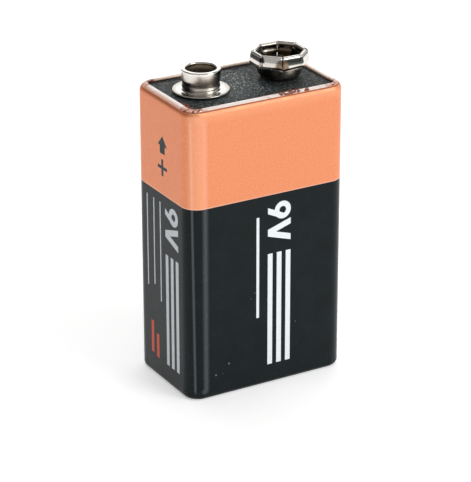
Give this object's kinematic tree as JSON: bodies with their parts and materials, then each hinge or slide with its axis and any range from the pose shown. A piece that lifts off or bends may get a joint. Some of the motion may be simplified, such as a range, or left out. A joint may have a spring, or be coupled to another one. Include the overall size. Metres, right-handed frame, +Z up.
{
  "type": "nine volt battery",
  "caption": "Nine volt battery: a metal case with rolled edges, a snap stud and a sprung snap socket riveted on its top board, and sealed cells joined in series inside.",
  "frame": {"origin": "middle of the base, on the surface that the battery stands on", "axes": "+Z up to the terminals, X along the wide side with the stud at -X and the socket at +X, Y through the narrow side"},
  "size_m": [0.026, 0.0164, 0.0483],
  "materials": {
    "printed_case": "satin print on rolled steel sheet, near-black below and copper above",
    "top_board": "fine-grained dark fibre board",
    "bottom_board": "dark fibre board",
    "film": "thin insulating film",
    "card": "plain insulating card",
    "nickel_plate": "bright nickel plate on pressed steel",
    "rivet_brass": "plain tubular rivet",
    "nickel_strip": "rolled nickel strip",
    "cell_steel": "nickel-plated drawn steel can"
  },
  "bodies": {
    "root": {"case_jacket": "printed_case", "top_board": "top_board", "bottom_board": "bottom_board", "cell_liner": "film", "top_insulator": "card", "bottom_insulator": "card", "positive_stud": "nickel_plate", "negative_socket": "nickel_plate", "positive_rivet": "rivet_brass", "negative_rivet": "rivet_brass", "positive_lead": "nickel_strip", "negative_lead": "nickel_strip", "cell_1": "cell_steel", "cell_2": "cell_steel", "cell_3": "cell_steel", "cell_4": "cell_steel", "cell_5": "cell_steel", "cell_6": "cell_steel", "row_divider": "card", "column_divider_1": "card", "column_divider_2": "card", "cell_link_1": "nickel_strip", "cell_link_2": "nickel_strip", "cell_link_3": "nickel_strip", "cell_link_4": "nickel_strip", "cell_link_5": "nickel_strip"}
  },
  "joints": []
}
